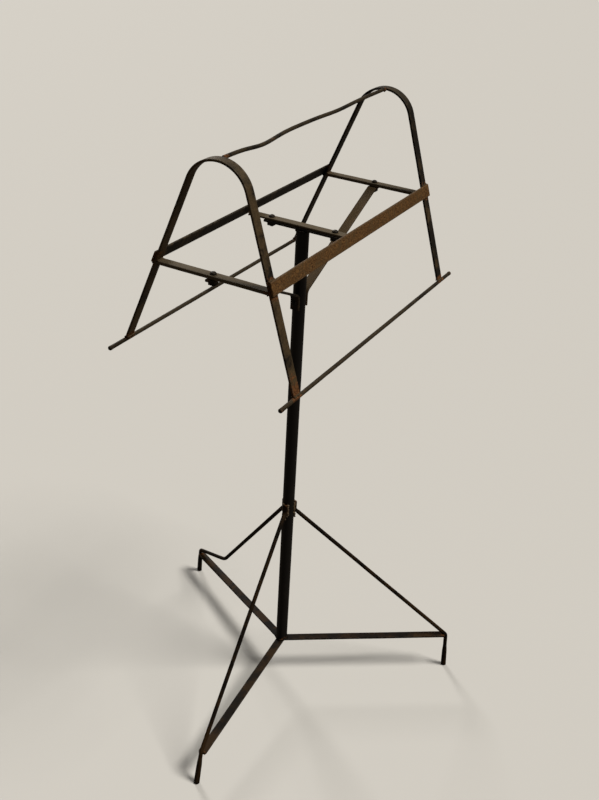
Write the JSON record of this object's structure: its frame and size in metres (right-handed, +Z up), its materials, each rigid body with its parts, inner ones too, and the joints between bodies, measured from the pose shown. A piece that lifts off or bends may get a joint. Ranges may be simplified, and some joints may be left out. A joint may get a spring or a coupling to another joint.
{
  "type": "music stand",
  "caption": "Double-sided wrought-iron music stand: an A-shaped open desk with ledge rods on a round pole with a tripod foot.",
  "frame": {"origin": "on the floor, on the pole's axis", "axes": "+Z up; X along the desk's ridge, from hoop_left to hoop_right; -Y towards the desk's front slope"},
  "size_m": [0.7333, 0.6904, 1.2836],
  "materials": {
    "blackened_iron": "blackened, dry, lightly rusted",
    "browned_iron": "brown patina with worn, duller edges",
    "rusty_iron": "even orange-brown rust"
  },
  "bodies": {
    "root": {"rail_front": "rusty_iron", "pole": "blackened_iron", "pole_head": "blackened_iron", "hoop_left": "blackened_iron", "hoop_right": "blackened_iron", "ridge_rod": "blackened_iron", "brace_rivet": "blackened_iron", "brace_left_bolt": "blackened_iron", "brace_left_nut": "blackened_iron", "brace_right_bolt": "blackened_iron", "brace_right_nut": "blackened_iron", "head_front_bolt": "blackened_iron", "head_front_nut": "blackened_iron", "head_rear_bolt": "blackened_iron", "head_rear_nut": "blackened_iron", "centre_bar": "browned_iron", "rail_rear": "browned_iron", "crossbar_left": "browned_iron", "crossbar_right": "browned_iron", "brace_left": "browned_iron", "brace_right": "browned_iron", "ledge_rod_front": "browned_iron", "ledge_rod_rear": "browned_iron", "strut_front": "browned_iron", "strut_rear": "browned_iron", "strut_side": "browned_iron", "stretcher_front": "browned_iron", "stretcher_rear": "browned_iron", "stretcher_side": "browned_iron"}
  },
  "joints": []
}
